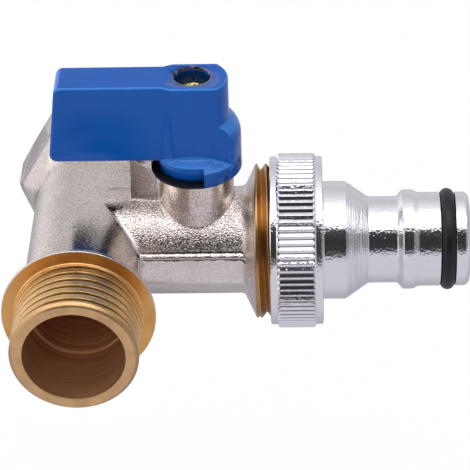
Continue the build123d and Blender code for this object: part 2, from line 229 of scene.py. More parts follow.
def dent(tree, shader, layers, rounding=0.0):
    """Chains bumps of (height, depth in metres, strength), over edges softened by the rounding."""
    normal = None
    if rounding:
        normal = joined(tree, "ShaderNodeBevel", [("Radius", rounding)], samples=8).outputs["Normal"]
    for height, depth, strength in layers:
        settings = [("Height", height), ("Distance", depth), ("Strength", strength)]
        bump = joined(tree, "ShaderNodeBump", settings)
        if normal:
            tree.links.new(normal, bump.inputs["Normal"])
        normal = bump.outputs["Normal"]
    tree.links.new(normal, shader.inputs["Normal"])


def axes(tree, place):
    """The three coordinates of a place."""
    return joined(tree, "ShaderNodeSeparateXYZ", [("Vector", place)]).outputs


# Nickel plate over the blasted forging: fine bright grain, faint stains and a few nicks;
# the trimmed flats under the parting line are smoother, with fine upright lines. Painted
# shade darkens a line along the foot of the parting bead and the edge of the hex. The crease
# between line and barrel carries a painted highlight: a smooth bright line.
nickel, tree, shader, place = finish("nickel_plate_blasted")
x, y, z = axes(tree, place)
peen = grain(tree, place, 4700, 1.0, 0.5)
pepper = grain(tree, place, 4000, 1.5, 0.6)
stain = grain(tree, place, 150, 3.0)
smudge = grain(tree, place, 620, 3.0, 0.6)
nicks = cells(tree, place, 150)
from_axis = apart(tree, y, outlet_at)
past_line = spread(tree, x, line_radius, line_radius + 0.5 * mm, 0, 1)
within_barrel = spread(tree, from_axis, barrel_radius, barrel_radius + 0.4 * mm, 1, 0)
on_barrel = sums(tree, "MULTIPLY", past_line, within_barrel)
trimmed = sums(tree, "MULTIPLY", spread(tree, z, 1.5 * mm, 1.8 * mm, 1, 0), on_barrel)
# Painted shade: a dark line along the foot of the parting bead and on the edge of the hex.
ragged = sums(tree, "ADD", z, spread(tree, smudge, 0.3, 0.7, -0.22 * mm, 0.22 * mm))
above_flats = spread(tree, ragged, 1.56 * mm, 1.70 * mm, 0, 1)
below_bead = spread(tree, z, 2.12 * mm, 2.22 * mm, 1, 0)
bead_foot_shade = sums(tree, "MULTIPLY", above_flats, below_bead)
hex_edge = band(tree, y, (38.7 * mm, 39.7 * mm), (39.9 * mm, 40.4 * mm))
hex_edge_shade = sums(tree, "MULTIPLY", hex_edge, spread(tree, stain, 0.3, 0.7, 0.45, 0.65))
painted_shade_lines = sums(tree, "MAXIMUM", sums(tree, "MULTIPLY", bead_foot_shade, on_barrel), hex_edge_shade)
shade_line_mask = sums(tree, "MULTIPLY", painted_shade_lines, 0.9)
# Painted highlight: the crease between line and barrel is lightened into a smooth bright line.
over_line = sums(tree, "SUBTRACT", from_centre(tree, x, z), line_radius)
over_barrel = sums(tree, "SUBTRACT", from_centre(tree, from_axis, z), barrel_radius)
mid_blend = spread(tree, apart(tree, over_line, over_barrel), 0.26 * mm, 0.60 * mm, 1, 0)
in_blend = spread(tree, sums(tree, "MINIMUM", over_line, over_barrel), 0.03 * mm, 0.08 * mm, 0, 1)
beside_line = spread(tree, x, line_radius - 0.3 * mm, line_radius + 0.1 * mm, 1, 0)
below_top = spread(tree, z, barrel_radius - 0.8 * mm, barrel_radius - 0.2 * mm, 1, 0)
by_crotch = sums(tree, "MULTIPLY", beside_line, below_top)
crease_highlight = sums(tree, "MULTIPLY", sums(tree, "MULTIPLY", mid_blend, in_blend), by_crotch)
tone = blend(tree, spread(tree, stain, 0.32, 0.68, 0, 1), (0.75, 0.665, 0.60), (0.86, 0.80, 0.755))
flecks = spread(tree, pepper, 0.36, 0.56, 0.60, 0)
peppered = sums(tree, "MULTIPLY", flecks, spread(tree, trimmed, 0, 1, 1, 0.45))
flecked = blend(tree, peppered, tone, (0.32, 0.27, 0.235))
crease_highlit = blend(tree, crease_highlight, flecked, (0.97, 0.93, 0.90))
shade_lined = blend(tree, shade_line_mask, crease_highlit, (0.035, 0.030, 0.028))
dulled = sums(tree, "MULTIPLY", crease_highlight, 0.30)
surface(tree, shader, shade_lined, sums(tree, "ADD", spread(tree, stain, 0.3, 0.7, 0.11, 0.16), dulled), 1.0)
upright_lines = drawn_grain(tree, place, (4200, 4200, 240))
low_band = sums(tree, "MULTIPLY", spread(tree, z, 3.55 * mm, 3.75 * mm, 1, 0), on_barrel)
towards_barrel = spread(tree, x, 5.0 * mm, 7.5 * mm, 0.35, 1)
above_barrel = spread(tree, z, barrel_radius, barrel_radius + 0.6 * mm, 1, 0.22)
coarse = sums(tree, "MULTIPLY", towards_barrel, above_barrel)
smooth = sums(tree, "MAXIMUM", sums(tree, "MULTIPLY", low_band, 0.82), sums(tree, "MULTIPLY", crease_highlight, 0.9))
blasted = sums(tree, "MULTIPLY", coarse, sums(tree, "SUBTRACT", 1.0, smooth))
dent(
    tree,
    shader,
    [
        (spread(tree, nicks, 0.03, 0.09, 0, 1), 0.05 * mm, 0.6),
        (sums(tree, "MULTIPLY", upright_lines, trimmed), 0.06 * mm, 0.8),
        (crease_highlight, 0.05 * mm, 0.8),
        (sums(tree, "MULTIPLY", peen, blasted), 0.115 * mm, 1.0),
    ],
    0.35 * mm,
)

# Bare turned brass: rings from the tool, a dull warm tarnish and small pits; painted shade
# darkens the roots of the thread and the chamfer, and the metal darkens towards the mouth.
brass, tree, shader, place = finish("bare_brass_turned")
x, y, z = axes(tree, place)
tarnish = grain(tree, place, 260, 3.0)
fine = grain(tree, place, 4200, 1.0)
speck = spread(tree, cells(tree, place, 640), 0.04, 0.11, 1, 0)
streaks = drawn_grain(tree, place, (420, 5200, 420), 2.0, 0.6)
# Painted shade in the roots of the thread.
root_top = 10.42 * mm
in_root = band(tree, from_centre(tree, x, z), (9.0 * mm, 9.2 * mm), (root_top - 0.26 * mm, root_top))
on_thread = spread(tree, y, -chamfer_from * mm, (0.3 - chamfer_from) * mm, 0, 0.88)
root_shade = sums(tree, "MULTIPLY", in_root, on_thread)
clean = blend(tree, spread(tree, tarnish, 0.35, 0.68, 0, 1), (0.82, 0.515, 0.215), (0.94, 0.64, 0.295))
drawn = blend(tree, spread(tree, streaks, 0.36, 0.60, 0.32, 0), clean, (0.36, 0.21, 0.085))
root_shaded = blend(tree, root_shade, drawn, (0.10, 0.05, 0.018))
# Darker towards the mouth; the chamfer is painted darker as shade.
by_mouth = spread(tree, y, -inlet_length * mm, (0.5 - inlet_length) * mm, 0.4, 0)
mouth_darkened = blend(tree, by_mouth, root_shaded, (0.56, 0.34, 0.20))
on_chamfer = band(
    tree,
    y,
    ((0.03 - inlet_length) * mm, (0.08 - inlet_length) * mm),
    ((-0.08 - chamfer_from) * mm, (0.02 - chamfer_from) * mm),
)
chamfer_shaded = blend(tree, sums(tree, "MULTIPLY", on_chamfer, 0.55), mouth_darkened, (0.34, 0.205, 0.10))
worn = blend(tree, sums(tree, "MULTIPLY", speck, 0.6), chamfer_shaded, (0.20, 0.10, 0.04))
surface(tree, shader, worn, spread(tree, tarnish, 0.3, 0.7, 0.29, 0.37), 1.0)
tool_rings = drawn_grain(tree, place, (60, 5200, 60))
dent(tree, shader, [(tool_rings, 0.05 * mm, 0.6), (fine, 0.05 * mm, 0.6)])

# Faced brass of the shoulder and the outlet thread: deeper orange, a few dark specks.
faced, tree, shader, place = finish("bare_brass_faced")
glow = grain(tree, place, 190, 2.0)
speck = spread(tree, cells(tree, place, 300), 0.03, 0.08, 1, 0)
warm = blend(tree, spread(tree, glow, 0.3, 0.7, 0, 1), (0.70, 0.355, 0.10), (0.85, 0.485, 0.175))
# Darker and browner towards the outlet end.
at_outlet = spread(tree, axes(tree, place)["X"], 27 * mm, 28 * mm, 0, 0.7)
outlet_darkened = blend(tree, at_outlet, warm, (0.36, 0.225, 0.11))
pitted = blend(tree, speck, outlet_darkened, (0.14, 0.06, 0.02))
surface(tree, shader, pitted, spread(tree, glow, 0.3, 0.7, 0.27, 0.36), 1.0)
dent(tree, shader, [(grain(tree, place, 2600, 2.0), 0.03 * mm, 0.5)])

# Bored brass inside the inlet: dull brown, painted darker towards the mouth as shade, with faint rings from
# the drill and a painted highlight on the step.
bored, tree, shader, place = finish("bare_brass_bored")
soot = grain(tree, place, 210, 3.0)
y = axes(tree, place)["Y"]
deep = blend(tree, spread(tree, soot, 0.3, 0.7, 0, 1), (0.74, 0.345, 0.155), (0.88, 0.440, 0.210))
# Painted shade: the bore is darker towards the mouth.
dull = blend(tree, spread(tree, y, -11 * mm, 3 * mm, 0.76, 0), deep, (0.09, 0.042, 0.017))
at_step = spread(tree, apart(tree, y, bore_step * mm), 0.12 * mm, 0.20 * mm, 1, 0)
drill_rings = drawn_grain(tree, place, (60, 2300, 60), 2.0)
ringed = blend(tree, spread(tree, drill_rings, 0.35, 0.65, 0.45, 0), dull, (0.16, 0.070, 0.030))
# Painted highlight: a light line on the step in the bore.
step_highlit = blend(tree, sums(tree, "MULTIPLY", at_step, 0.22), ringed, (0.80, 0.46, 0.26))
surface(tree, shader, step_highlit, spread(tree, soot, 0.3, 0.7, 0.44, 0.54), 0.25)
dent(tree, shader, [(drill_rings, 0.08 * mm, 0.8)])

forging = merged_copy("valve_body", "valve_body_forging")
cut_back(forging, Vector((0, inlet_cut, 0)), Vector((0, -1, 0)))
cut_back(forging, Vector((spigot_cut, 0, 0)), Vector((1, 0, 0)))
forging.data.materials.append(nickel)
forging.data.materials.append(bored)
bore_reach = 8.05 * mm
bore_depth = 31 * mm
for face in forging.data.polygons:
    across, along, height = face.center
    in_inlet = math.hypot(across, height) < bore_reach and along < bore_depth
    in_outlet = math.hypot(along - outlet_at, height) < bore_reach and across > 0
    face.material_index = 1 if in_inlet or in_outlet else 0

# Parting bead: the trimmed flash line left along both sides of the barrel, a sloped strip
# with a blunt outer edge that wavers along its length.
bead_from = 9.6
bead_to = 27.3
bead_steps = 90
bead_foot = 8.35
bead_section = [
    (8.10, 3.72),
    (8.56, 3.68),
    (8.70, 3.58),
    (9.40, 3.04),
    (9.49, 2.92),
    (9.50, 2.78),
    (9.40, 2.62),
    (8.80, 2.26),
    (8.10, 2.04),
]
beads = []
for side in (-1, 1):
    shape = bmesh.new()
    rows = []
    for step in range(bead_steps + 1):
        along = bead_from + (bead_to - bead_from) * step / bead_steps
        ripple = 1 + 0.025 * math.sin(2.9 * along) + 0.02 * math.sin(7.3 * along + side)
        row = []
        for out, high in bead_section:
            wavy = bead_foot + (out - bead_foot) * ripple
            row.append(shape.verts.new((along * mm, outlet_at + side * wavy * mm, high * mm)))
        rows.append(row)
    for row, beyond in zip(rows, rows[1:]):
        bridged(shape, row, beyond)
    shape.faces.new(rows[0])
    shape.faces.new(rows[-1])
    bmesh.ops.recalc_face_normals(shape, faces=shape.faces)
    mesh = bpy.data.meshes.new("parting_bead")
    shape.to_mesh(mesh)
    shape.free()
    mesh.materials.append(nickel)
    beads.append(placed("parting_bead", mesh))

# Pipe thread: a grid wrapped round X, its radius dipping along a right-hand helix.
thread = bpy.data.node_groups.new("pipe_thread", "GeometryNodeTree")
thread.interface.new_socket("Geometry", in_out="OUTPUT", socket_type="NodeSocketGeometry")
thread_inputs = {}
for name, kind, value in (
    ("Radius", "NodeSocketFloat", 0.01),
    ("Depth", "NodeSocketFloat", 0.001),
    ("Pitch", "NodeSocketFloat", 0.0018),
    ("Start", "NodeSocketFloat", 0.0),
    ("Length", "NodeSocketFloat", 0.01),
    ("Run Out", "NodeSocketFloat", 0.0005),
    ("Lead In", "NodeSocketFloat", 0.0),
    ("Phase", "NodeSocketFloat", 0.0),
    ("Groove", "NodeSocketFloat", 0.9),
    ("Steps Round", "NodeSocketInt", 161),
    ("Steps Along", "NodeSocketInt", 90),
    ("Finish", "NodeSocketMaterial", None),
):
    socket = thread.interface.new_socket(name, in_out="INPUT", socket_type=kind)
    if value is not None:
        socket.default_value = value
    thread_inputs[name] = socket.identifier
given = thread.nodes.new("NodeGroupInput").outputs
counts = [("Vertices X", given["Steps Round"]), ("Vertices Y", given["Steps Along"])]
grid = joined(thread, "GeometryNodeMeshGrid", [("Size X", 1.0), ("Size Y", 1.0)] + counts)
spot = axes(thread, thread.nodes.new("GeometryNodeInputPosition").outputs[0])
around = sums(thread, "ADD", spot["X"], 0.5)
share = sums(thread, "ADD", spot["Y"], 0.5)
travel = sums(thread, "MULTIPLY", share, given["Length"])
left_over = sums(thread, "SUBTRACT", given["Length"], travel)
turns = sums(thread, "ADD", sums(thread, "DIVIDE", travel, given["Pitch"]), given["Phase"])
helix = sums(thread, "SUBTRACT", turns, around)
wave = apart(thread, sums(thread, "FRACT", helix, 0.0), 0.5)
flank = spread(thread, sums(thread, "MULTIPLY", wave, 2.0), 0.05, given["Groove"], 1, 0)
fade_in = spread(thread, travel, 0.0, given["Run Out"], 0, 1)
fade_out = spread(thread, left_over, 0.0, given["Run Out"], 0, 1)
kept = sums(thread, "MULTIPLY", fade_in, fade_out)
dip = sums(thread, "MULTIPLY", sums(thread, "MULTIPLY", flank, given["Depth"]), kept)
cone = sums(thread, "MAXIMUM", sums(thread, "SUBTRACT", given["Lead In"], left_over), 0.0)
radius = sums(thread, "SUBTRACT", given["Radius"], sums(thread, "MAXIMUM", dip, cone))
angle = sums(thread, "MULTIPLY", around, 2 * math.pi)
wrapped = joined(
    thread,
    "ShaderNodeCombineXYZ",
    [
        ("X", sums(thread, "ADD", travel, given["Start"])),
        ("Y", sums(thread, "MULTIPLY", radius, sums(thread, "COSINE", angle, 0.0))),
        ("Z", sums(thread, "MULTIPLY", radius, sums(thread, "SINE", angle, 0.0))),
    ],
)
flat = grid.outputs["Mesh"]
bent = joined(thread, "GeometryNodeSetPosition", [("Geometry", flat), ("Position", wrapped.outputs[0])])
closed = joined(thread, "GeometryNodeMergeByDistance", [("Geometry", bent.outputs[0]), ("Distance", 1e-6)])
real = joined(thread, "GeometryNodeRealizeInstances", [("Geometry", closed.outputs[0])])
coat = [("Geometry", real.outputs[0]), ("Material", given["Finish"])]
coated = joined(thread, "GeometryNodeSetMaterial", coat)
joined(thread, "NodeGroupOutput", [("Geometry", coated.outputs[0])])


def threaded(name, **sizes):
    """A length of thread made by the tree, as a plain mesh about X."""
    piece = placed(name, bpy.data.meshes.new(name))
    cutter = piece.modifiers.new("thread", "NODES")
    cutter.node_group = thread
    for key, value in sizes.items():
        cutter[thread_inputs[key.replace("_", " ")]] = value
    return settled(piece)


def assembled(name, pieces, place=Matrix.Identity(4)):
    """Joins pieces into one mesh, with their materials, and moves it to its place."""
    mesh = bpy.data.meshes.new(name)
    shape = bmesh.new()
    kinds = []
    for piece in pieces:
        part = piece.data
        shift = []
        for material in part.materials:
            if material not in kinds:
                kinds.append(material)
            shift.append(kinds.index(material))
        first = len(shape.faces)
        shape.from_mesh(part)
        shape.faces.ensure_lookup_table()
        for face in shape.faces[first:]:
            face.material_index = shift[face.material_index]
            face.smooth = True
        bpy.data.objects.remove(piece)
    bmesh.ops.transform(shape, matrix=place, verts=shape.verts)
    shape.to_mesh(mesh)
    shape.free()
    for material in kinds:
        mesh.materials.append(material)
    return placed(name, mesh)


def weld(piece):
    """Joins coincident rings and turns every face outwards."""
    shape = bmesh.new()
    shape.from_mesh(piece.data)
    bmesh.ops.remove_doubles(shape, verts=shape.verts, dist=weld_gap)
    bmesh.ops.recalc_face_normals(shape, faces=shape.faces)
    shape.to_mesh(piece.data)
    shape.free()


def open_turning(name, outline, materials, steps=160):
    """A turned skin: a turning without the faces between its last and first rings."""
    piece = turning(name, outline, materials, steps)
    shape = bmesh.new()
    shape.from_mesh(piece.data)
    shape.faces.ensure_lookup_table()
    bmesh.ops.delete(shape, geom=shape.faces[-steps:], context="FACES_ONLY")
    shape.to_mesh(piece.data)
    shape.free()
    return piece


# Inlet end: G 1/2 thread, faced shoulder with its plated rim, chamfered mouth and bore.
# The outline counts towards the mouth from the shoulder's face.
pipe_pitch = 1.814
inlet_bore = 8.30
shoulder_radius = 12.70
shoulder_cut_radius = 11.595
thread_from = 0.26
chamber_radius = 7.90
step_edge = 0.08
plated, turned, bare, drilled = range(4)
inlet_skin = open_turning(
    "inlet_skin",
    [
        (chamfer_from, inlet_radius, turned),
        (11.36, 10.02, turned),
        (11.45, 9.92, turned),
        (inlet_length, 9.80, turned),
        (inlet_length, 8.46, turned),
        (11.45, 8.36, turned),
        (11.34, inlet_bore, drilled),
        (6.0, inlet_bore, drilled),
        (step_edge - bore_step, inlet_bore, drilled),
        (-bore_step, inlet_bore - step_edge, drilled),
        (-bore_step, chamber_radius + step_edge, drilled),
        (-bore_step - step_edge, chamber_radius, drilled),
        (-inlet_cut / mm, chamber_radius, plated),
        (-inlet_cut / mm, shoulder_cut_radius, plated),
        (-0.80, 12.54, plated),
        (-0.72, 12.63, plated),
        (-0.60, 12.68, plated),
        (-0.50, shoulder_radius, plated),
        (-0.10, shoulder_radius, plated),
        (-0.03, 12.67, plated),
        (0.0, 12.60, bare),
        (0.0, 10.82, bare),
        (0.03, 10.66, turned),
        (0.12, 10.54, turned),
        (thread_from, inlet_radius, turned),
    ],
    [nickel, brass, faced, bored],
)
inlet_thread = threaded(
    "inlet_thread_skin",
    Radius=inlet_radius * mm,
    Depth=0.80 * mm,
    Pitch=pipe_pitch * mm,
    Start=thread_from * mm,
    Length=(chamfer_from - thread_from) * mm,
    Run_Out=0.5 * mm,
    Phase=0.35,
    Groove=0.36,
    Steps_Round=161,
    Steps_Along=200,
    Finish=brass,
)
inlet_end = assembled("inlet_end", [inlet_skin, inlet_thread], Matrix.Rotation(-math.pi / 2, 4, "Z"))
weld(inlet_end)

# Outlet end: the flare's plated back, its bare rim and the first turns of the G 3/4 thread.
spigot_radius = 13.2205
spigot_bore = 8.0
spigot_end_at = 37.0
spigot_thread_from = 29.10
spigot_thread_to = 36.4
spigot_lead = 0.9
flare_rim = 13.15
barrel_flat = 8.35
flare_from = 26.6
flare_to = 28.9
cut_at = spigot_cut / mm
cut_share = (cut_at - flare_from) / (flare_to - flare_from)
cut_radius = barrel_flat + (flare_rim - barrel_flat) * cut_share
bare, plated = range(2)
spigot_skin = open_turning(
    "spigot_skin",
    [
        (spigot_thread_to, spigot_radius - spigot_lead, bare),
        (spigot_end_at, spigot_radius - spigot_lead - 0.2, bare),
        (spigot_end_at, spigot_bore, bare),
        (cut_at, spigot_bore, plated),
        (cut_at, cut_radius, plated),
        (28.74, 12.83, plated),
        (28.84, 13.00, bare),
        (28.96, 13.11, bare),
        (spigot_thread_from, flare_rim, bare),
    ],
    [faced, nickel],
)
spigot_thread = threaded(
    "spigot_thread_skin",
    Radius=flare_rim * mm,
    Depth=1.0 * mm,
    Pitch=pipe_pitch * mm,
    Start=spigot_thread_from * mm,
    Length=(spigot_thread_to - spigot_thread_from) * mm,
    Run_Out=0.35 * mm,
    Lead_In=(flare_rim - spigot_radius + spigot_lead) * mm,
    Phase=0.31,
    Groove=0.90,
    Steps_Round=161,
    Steps_Along=110,
    Finish=faced,
)
spigot_end = assembled("spigot_end", [spigot_skin, spigot_thread], Matrix.Translation((0, outlet_at, 0)))
weld(spigot_end)

valve_body = assembled("valve_body_dressed", [forging, *beads, inlet_end, spigot_end])
shaded(valve_body, 33)
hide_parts("valve_body")
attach(valve_body, "valve")

# Ball, seats and retainer
# A plated brass ball turns between two white low-friction plastic seat rings; a brass ring
# screwed in from the outlet presses them together. All of it sits inside the barrel.
polish, tree, shader, place = finish("polished_plate")
haze = grain(tree, place, 900, 2.0)
hazed = blend(tree, haze, (0.70, 0.68, 0.66), (0.80, 0.79, 0.78))
surface(tree, shader, hazed, spread(tree, haze, 0.3, 0.7, 0.06, 0.12), 1.0)
dent(tree, shader, [(haze, 0.01 * mm, 0.2)])

plastic, tree, shader, place = finish("white_plastic")
mottle = grain(tree, place, 700, 2.0)
mottled = blend(tree, mottle, (0.78, 0.77, 0.74), (0.86, 0.86, 0.84))
surface(tree, shader, mottled, spread(tree, mottle, 0.3, 0.7, 0.38, 0.5))
dent(tree, shader, [(grain(tree, place, 4000, 1.0), 0.01 * mm, 0.3)])


def dressed(node, material):
    """Gives a carried-over piece its finish."""
    piece = nodes[node]
    piece.data.materials.clear()
    piece.data.materials.append(material)


dressed("ball", polish)
dressed("inlet_seat", plastic)
dressed("outlet_seat", plastic)
dressed("seat_retainer", brass)

# Stem and its seals
# A turned brass stem drives the ball; a plastic thrust washer and two O-rings seal it, and
# a flat rubber ring on top of the boss keeps dirt out under the handle.
rubber, tree, shader, place = finish("black_rubber")
bloom = grain(tree, place, 500, 3.0)
bloomed = blend(tree, bloom, (0.005, 0.005, 0.007), (0.013, 0.013, 0.017))
surface(tree, shader, bloomed, spread(tree, bloom, 0.3, 0.7, 0.34, 0.48))
shader.inputs["Specular IOR Level"].default_value = 0.3
dent(tree, shader, [(grain(tree, place, 3000, 2.0), 0.015 * mm, 0.4)])

dressed("stem", brass)
dressed("stem_thrust_washer", plastic)
dressed("stem_o_ring_lower", rubber)
dressed("stem_o_ring_upper", rubber)
dressed("stem_dust_ring", rubber)

# Handle
# A die-cast lever with a domed hub and a coned foot that has a quarter notch for the stop,
# painted blue all over. The thick paint rounds the edges, which carry a painted highlight along
# the top; the underside and the screw well are painted dark as shade, and the paint has rubbed through at
# the well's mouth.
well_radius = 3.1
handle_top = 32.45
paint, tree, shader, place = finish("blue_paint")
x, y, z = axes(tree, place)
shade = grain(tree, place, 120, 3.0)
peel = grain(tree, place, 1100, 2.0)
east = sums(tree, "SUBTRACT", x, stem_at.x)
north = sums(tree, "SUBTRACT", y, stem_at.y)
from_stem = from_centre(tree, east, north)
from_mouth = apart(tree, from_stem, (well_radius + 0.03) * mm)
wander = spread(tree, grain(tree, place, 700, 3.0), 0.3, 0.7, -0.10 * mm, 0.16 * mm)
rim = spread(tree, sums(tree, "ADD", from_mouth, wander), 0.10 * mm, 0.16 * mm, 1, 0)
on_top = spread(tree, z, (handle_top - 0.6) * mm, (handle_top - 0.35) * mm, 0, 1)
bare_metal = sums(tree, "MULTIPLY", rim, on_top)
facing = axes(tree, tree.nodes.new("ShaderNodeNewGeometry").outputs["True Normal"])["Z"]
# Painted highlight: edges sloping between top and sides are lightened.
edge_highlight = band(tree, facing, (0.25, 0.55), (0.88, 0.97))
# Painted shade: faces turned downwards and the walls of the screw well are darkened.
beneath = spread(tree, facing, -0.95, -0.7, 1, 0)
by_well = spread(tree, from_stem, (well_radius + 0.05) * mm, (well_radius + 0.15) * mm, 1, 0)
down_well = spread(tree, z, (handle_top - 1.2) * mm, (handle_top - 0.3) * mm, 0.85, 0.4)
underside_well_shade = sums(tree, "MAXIMUM", beneath, sums(tree, "MULTIPLY", by_well, down_well))
blue = blend(tree, spread(tree, shade, 0.3, 0.7, 0, 1), (0.0015, 0.076, 0.355), (0.002, 0.086, 0.390))
edge_highlit_blue = blend(tree, sums(tree, "MULTIPLY", edge_highlight, 0.6), blue, (0.05, 0.25, 0.68))
shaded_blue = blend(tree, underside_well_shade, edge_highlit_blue, (0.003, 0.010, 0.022))
rubbed = blend(tree, bare_metal, shaded_blue, (0.34, 0.29, 0.27))
surface(tree, shader, rubbed, spread(tree, peel, 0.3, 0.7, 0.11, 0.16), bare_metal)
shader.inputs["Specular IOR Level"].default_value = 0.3
dent(tree, shader, [(shade, 0.25 * mm, 0.10), (peel, 0.02 * mm, 0.35)], 0.5 * mm)

handle = merged_copy("handle", "handle_painted")
handle.data.materials.append(paint)
shaded(handle, 40)
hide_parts("handle")
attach(handle, "lever")

# Handle screw
# A small cross-slotted pan-head screw, zinc plated and yellow passivated, at the bottom of
# the well in the handle; it holds the handle on the stem. The tall head is given its full
# height here, so that its far edge shows above the rim of the well.
yellow, tree, shader, place = finish("yellow_plate")
tint = grain(tree, place, 1500, 2.0)
tinted = blend(tree, spread(tree, tint, 0.3, 0.7, 0, 1), (0.60, 0.50, 0.17), (0.82, 0.74, 0.36))
surface(tree, shader, tinted, spread(tree, tint, 0.3, 0.7, 0.16, 0.3), 0.85)
dent(tree, shader, [(tint, 0.08 * mm, 0.9)])
head_waist = 28.2 * mm
head_raise = 0.6 * mm
screw = merged_copy("handle_screw", "handle_screw_plated")
for corner in screw.data.vertices:
    if corner.co.z > head_waist:
        corner.co.z += head_raise
screw.data.materials.append(yellow)
shaded(screw, 40)
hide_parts("handle_screw")
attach(screw, "lever")

# Hose adapter
# A turned and chromed brass nose: knurled collar that screws over the outlet thread, cone,
# neck, locking ridge and plug end with a groove for its O-ring.
collar_from = 31.30
collar_to = 40.20
collar_radius = 14.30
collar_bore = 13.32
collar_floor = 39.0
knurl_from = 32.42
knurl_to = 39.08
knurl_root = 14.55
hub_radius = 10.025
cone_from = 43.9
cone_to = 47.9
neck_radius = 7.35
ridge_radius = 8.45
nose_radius = 7.975
nose_bore = 5.00
nose_end = 64.95
groove_from = 60.00
groove_to = 62.55
groove_radius = 6.125
chrome, tree, shader, place = finish("chrome_plate")
x, y, z = axes(tree, place)
waver = grain(tree, place, 240, 2.0)
peel = grain(tree, place, 2400, 2.0)
pits = cells(tree, place, 1500)
on_cone = band(
    tree,
    x,
    (cone_from * mm, (cone_from + 0.4) * mm),
    ((cone_to - 0.4) * mm, cone_to * mm),
)
from_nose = from_centre(tree, sums(tree, "SUBTRACT", y, outlet_at), z)
on_knurl = band(
    tree,
    x,
    ((knurl_from + 0.28) * mm, (knurl_from + 0.48) * mm),
    ((knurl_to - 0.48) * mm, (knurl_to - 0.28) * mm),
)
# Painted shade: the roots of the knurl are darkened.
low = spread(tree, from_nose, (knurl_root + 0.03) * mm, (knurl_root + 0.11) * mm, 0.75, 0)
bright = blend(tree, peel, (0.82, 0.815, 0.84), (0.88, 0.875, 0.90))
groove_shaded = blend(tree, sums(tree, "MULTIPLY", low, on_knurl), bright, (0.13, 0.13, 0.15))
gloss = spread(tree, peel, 0.3, 0.7, 0.05, 0.09)
surface(tree, shader, groove_shaded, sums(tree, "ADD", gloss, sums(tree, "MULTIPLY", on_cone, 0.10)), 1.0)
lathe_rings = drawn_grain(tree, place, (8600, 90, 90))
dent(
    tree,
    shader,
    [
        (waver, 0.06 * mm, 0.25),
        (sums(tree, "MULTIPLY", lathe_rings, on_cone), 0.13 * mm, 1.0),
        (spread(tree, pits, 0.06, 0.2, 0, 1), 0.03 * mm, 0.5),
        (peel, 0.065 * mm, 0.8),
    ],
)

adapter_outline = [
    (collar_from, 13.62),
    (collar_from, 14.02),
    (31.37, 14.20),
    (31.52, collar_radius),
    (knurl_from, collar_radius),
    (32.50, 14.33),
    (32.74, knurl_root),
    (38.76, knurl_root),
    (39.00, 14.33),
    (knurl_to, collar_radius),
    (39.96, collar_radius),
    (40.12, 14.21),
    (collar_to, 14.02),
    (collar_to, 10.32),
    (40.24, 10.16),
    (40.33, 10.06),
    (40.45, hub_radius),
    (43.84, hub_radius),
    (44.00, 10.00),
    (44.14, 9.92),
    (47.70, 7.47),
    (47.88, 7.38),
    (48.06, neck_radius),
    (52.50, neck_radius),
    (52.72, 7.39),
    (52.90, 7.50),
    (53.52, 8.24),
    (53.66, 8.38),
    (53.84, ridge_radius),
    (55.28, ridge_radius),
    (55.46, 8.41),
    (56.26, 8.02),
    (56.46, nose_radius),
    (59.84, nose_radius),
    (59.96, 7.93),
    (groove_from, 7.82),
    (groove_from, 6.30),
    (60.06, 6.17),
    (60.20, groove_radius),
    (62.35, groove_radius),
    (62.49, 6.17),
    (groove_to, 6.30),
    (groove_to, 7.82),
    (62.59, 7.93),
    (62.71, nose_radius),
    (63.85, nose_radius),
    (64.27, 7.89),
    (64.63, 7.65),
    (64.87, 7.29),
    (nose_end, 6.87),
    (nose_end, 5.22),
    (64.89, 5.07),
    (64.74, nose_bore),
    (52.0, nose_bore),
    (collar_floor, nose_bore),
    (collar_floor, collar_bore),
    (31.70, collar_bore),
]
plated_outline = [(along, out, 0) for along, out in adapter_outline]
adapter_turning = turning("adapter_turning", plated_outline, [chrome], 192)

# Straight knurl: one ridge with pointed ends, set eighty times round the collar. Each of its
# levels has a radius, a half length, a half width and the length of the points.
tooth_count = 80
middle = (knurl_from + knurl_to) / 2
half_length = (knurl_to - knurl_from) / 2
tooth_levels = [
    (14.48, half_length - 0.06, 0.55, 0.48),
    (14.56, half_length - 0.12, 0.53, 0.46),
    (14.78, half_length - 0.34, 0.12, 0.14),
    (14.83, half_length - 0.42, 0.03, 0.05),
]
tooth_shape = bmesh.new()
outlines = []
for height, reach, half_width, point in tooth_levels:
    ring = []
    for along, across in (
        (-reach, 0.0),
        (point - reach, -half_width),
        (reach - point, -half_width),
        (reach, 0.0),
        (reach - point, half_width),
        (point - reach, half_width),
    ):
        ring.append(tooth_shape.verts.new(((middle + along) * mm, across * mm, height * mm)))
    outlines.append(ring)
for lower, upper in zip(outlines, outlines[1:]):
    bridged(tooth_shape, lower, upper)
tooth_shape.faces.new(outlines[-1])
tooth_shape.faces.new(outlines[0][::-1])
bmesh.ops.recalc_face_normals(tooth_shape, faces=tooth_shape.faces)
tooth_mesh = bpy.data.meshes.new("knurl_tooth")
tooth_shape.to_mesh(tooth_mesh)
tooth_shape.free()
tooth = placed("knurl_tooth", tooth_mesh)

